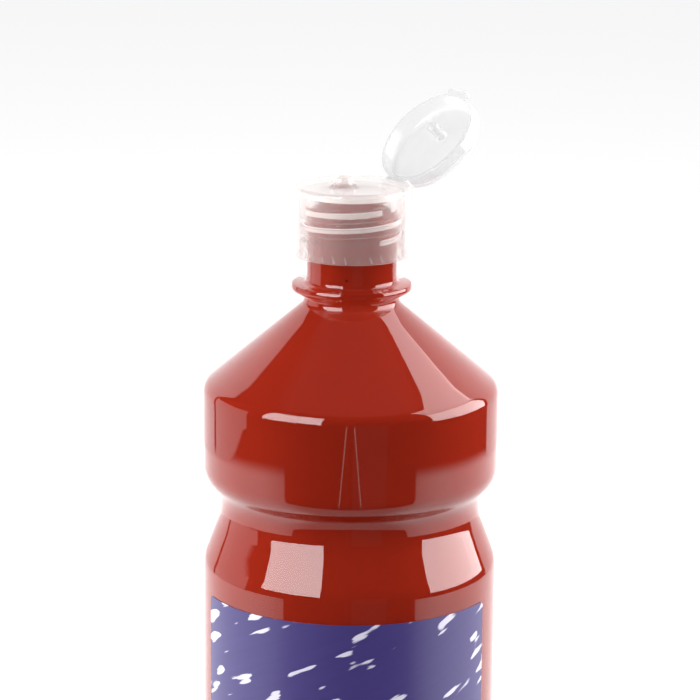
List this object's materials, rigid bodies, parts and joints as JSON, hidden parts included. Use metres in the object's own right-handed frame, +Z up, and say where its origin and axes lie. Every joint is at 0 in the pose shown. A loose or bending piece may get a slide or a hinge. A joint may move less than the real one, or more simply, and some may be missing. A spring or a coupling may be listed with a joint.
{
  "type": "paint bottle with flip-top cap",
  "caption": "Tall round squeeze bottle of ready-mixed paint with a waisted clear body, a neck ring and a screw-on flip-top cap with a nozzle.",
  "frame": {"origin": "centre of the base, on the surface the bottle stands on", "axes": "+Z up along the bottle's axis, -Y the front of the bottle (middle of the front label), +X to the right seen from the front"},
  "size_m": [0.0822, 0.0824, 0.276],
  "materials": {
    "clear_pet": "clear glossy blow-moulded PET",
    "red_paint": "opaque brick-red liquid paint",
    "label_film": "printed film, violet with pale brush strokes",
    "label_film_rear": "printed film, pale violet, plain",
    "foam_washer": "soft polyethylene foam",
    "natural_pp": "milky translucent natural polypropylene",
    "natural_pp_lid": "milky translucent natural polypropylene",
    "natural_pp_hinge": "milky translucent natural polypropylene"
  },
  "bodies": {
    "bottle": {"bottle": "clear_pet", "paint_fill": "red_paint", "front_label": "label_film", "rear_label": "label_film_rear"},
    "seal": {"sealing_washer": "foam_washer"},
    "cap": {"cap_shell": "natural_pp", "living_hinge": "natural_pp_hinge"},
    "lid": {"lid": "natural_pp_lid"}
  },
  "joints": [
    {"name": "cap_lift", "type": "slide", "parent": "bottle", "child": "seal", "axis": [0, 0, 1], "range_m": [0, 0.018]},
    {"name": "cap_spin", "type": "hinge", "parent": "seal", "child": "cap", "pos_m": [0, 0, 0.2526], "axis": [0, 0, 1], "range_deg": [0, 1530]},
    {"name": "lid_hinge", "type": "hinge", "parent": "cap", "child": "lid", "pos_m": [0.01214, 0.00915, 0.2529], "axis": [-0.6018, 0.7986, 0], "range_deg": [-133.5, 20], "deforming": ["living_hinge"]}
  ],
  "couplings": [
    {"joint": "cap_lift", "follows": "cap_spin", "m_per_rad": 0.0006737}
  ]
}
